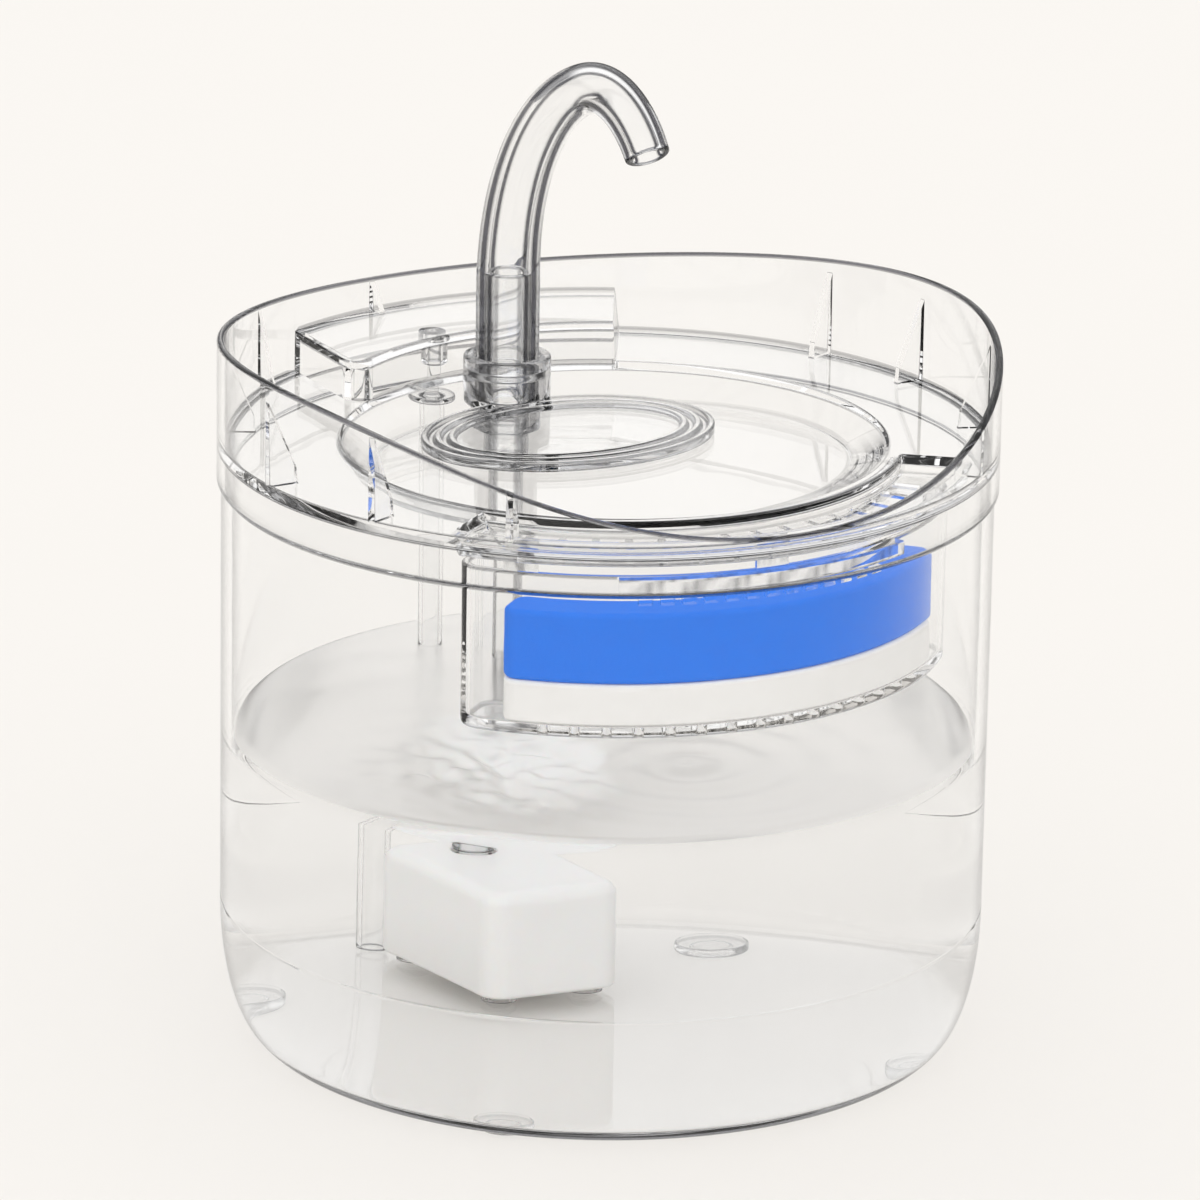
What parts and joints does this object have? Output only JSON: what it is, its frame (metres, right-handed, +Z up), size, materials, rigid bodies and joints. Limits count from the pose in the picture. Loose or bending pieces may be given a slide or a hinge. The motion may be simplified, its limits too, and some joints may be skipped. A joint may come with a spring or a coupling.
{
  "type": "pet water fountain",
  "caption": "Clear round pet water fountain with a bent spout over a drinking tray, a pump in the tank and a filter box under the tray.",
  "frame": {"origin": "on the surface it stands on, below the middle of the tank", "axes": "+Z up, -Y towards the low drinking side, +X to the right when facing the back from the front"},
  "size_m": [0.18, 0.18, 0.2302],
  "materials": {
    "clear_plastic": "clear moulded plastic, polished",
    "clear_bumper": "clear soft bumper",
    "white_plastic": "fine satin moulded plastic",
    "grey_foam": "open-cell foam",
    "blue_foam": "fine open-cell foam",
    "white_fibre": "needled fibre wadding",
    "clear_silicone": "clear silicone",
    "black_rubber": "matt rubber",
    "ceramic": "ground ceramic",
    "core_steel": "laminated steel",
    "copper_wire": "enamelled copper",
    "magnet": "sintered ferrite"
  },
  "bodies": {
    "tank": {"tank": "clear_plastic", "tank_feet": "clear_bumper", "pump_casing": "white_plastic", "pump_base": "white_plastic", "pump_feet": "clear_bumper", "intake_sponge": "grey_foam", "volute": "white_plastic", "rotor_well": "white_plastic", "impeller_shaft": "ceramic", "shaft_bushes": "black_rubber", "stator_core": "core_steel", "coil_bobbin": "white_plastic", "coil_winding": "copper_wire", "cable_gland": "black_rubber"},
    "rotor": {"rotor_magnet": "magnet", "impeller": "white_plastic"},
    "tray": {"tray": "clear_plastic", "spigot": "clear_plastic", "riser": "clear_plastic", "spreader": "clear_plastic", "support_post": "clear_plastic"},
    "filter_unit": {"filter_box": "clear_plastic", "filter_cotton": "white_fibre", "filter_foam": "blue_foam"},
    "spout_seal": {"spout_seal": "clear_silicone"},
    "spout": {"spout": "clear_plastic"}
  },
  "joints": [
    {"name": "tray_lift", "type": "slide", "parent": "tank", "child": "tray", "axis": [0, 0, 1], "range_m": [0, 0.06]},
    {"name": "spout_swivel", "type": "hinge", "parent": "tray", "child": "spout_seal", "pos_m": [0, 0.0515, 0.15], "axis": [0, 0, 1], "continuous": true},
    {"name": "spout_pull", "type": "slide", "parent": "spout_seal", "child": "spout", "axis": [0, 0, 1], "range_m": [0, 0.034]},
    {"name": "box_release", "type": "slide", "parent": "tray", "child": "filter_unit", "axis": [0, 0, -1], "range_m": [0, 0.04]},
    {"name": "impeller_spin", "type": "hinge", "parent": "tank", "child": "rotor", "pos_m": [0, 0.05, 0.0206], "axis": [0, 1, 0], "continuous": true}
  ]
}
